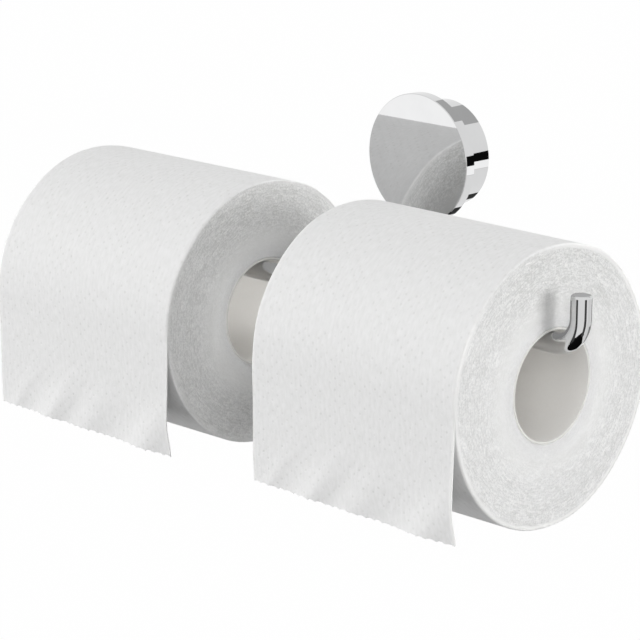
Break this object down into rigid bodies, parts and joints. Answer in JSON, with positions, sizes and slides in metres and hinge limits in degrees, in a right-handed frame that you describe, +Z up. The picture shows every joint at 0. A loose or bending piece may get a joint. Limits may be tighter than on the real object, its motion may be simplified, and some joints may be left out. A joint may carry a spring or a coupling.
{
  "type": "double toilet roll holder",
  "caption": "Wall holder with a round rosette, an arm and a crossbar with upturned ends, loaded with toilet rolls that slide along the bar and turn on it.",
  "frame": {"origin": "centre of the rosette on the wall plane", "axes": "+X to the right along the crossbar and +Z up as seen from the room, +Y into the wall; the object stands out from the wall towards -Y"},
  "size_m": [0.274, 0.132, 0.1324],
  "materials": {
    "chrome": "polished, mirror bright",
    "bracket_zinc": "die-cast zinc, satin",
    "screw_steel": "plain stainless steel",
    "core_board": "matt pale grey board",
    "tissue": "matt white, embossed with fine dots"
  },
  "bodies": {
    "holder": {"wall_bracket": "bracket_zinc", "rosette_neck": "chrome", "rosette_front_disc": "chrome", "grub_screw": "screw_steel", "arm": "chrome", "arm_screw": "screw_steel", "crossbar": "chrome"},
    "left_sheet": {"left_outer_turn": "tissue", "left_hanging_sheet": "tissue"},
    "left_roll": {"left_core": "core_board", "left_wound_paper": "tissue"},
    "right_sheet": {"right_outer_turn": "tissue", "right_hanging_sheet": "tissue"},
    "right_roll": {"right_core": "core_board", "right_wound_paper": "tissue"}
  },
  "joints": [
    {"name": "left_roll_slide", "type": "slide", "parent": "holder", "child": "left_sheet", "axis": [-1, 0, 0], "range_m": [-0.0188, 0.002]},
    {"name": "left_roll_spin", "type": "hinge", "parent": "left_sheet", "child": "left_roll", "pos_m": [-0.07215, -0.079, -0.0548], "axis": [1, 0, 0], "continuous": true},
    {"name": "right_roll_slide", "type": "slide", "parent": "holder", "child": "right_sheet", "axis": [1, 0, 0], "range_m": [-0.0188, 0.002]},
    {"name": "right_roll_spin", "type": "hinge", "parent": "right_sheet", "child": "right_roll", "pos_m": [0.07215, -0.079, -0.0548], "axis": [1, 0, 0], "continuous": true}
  ]
}
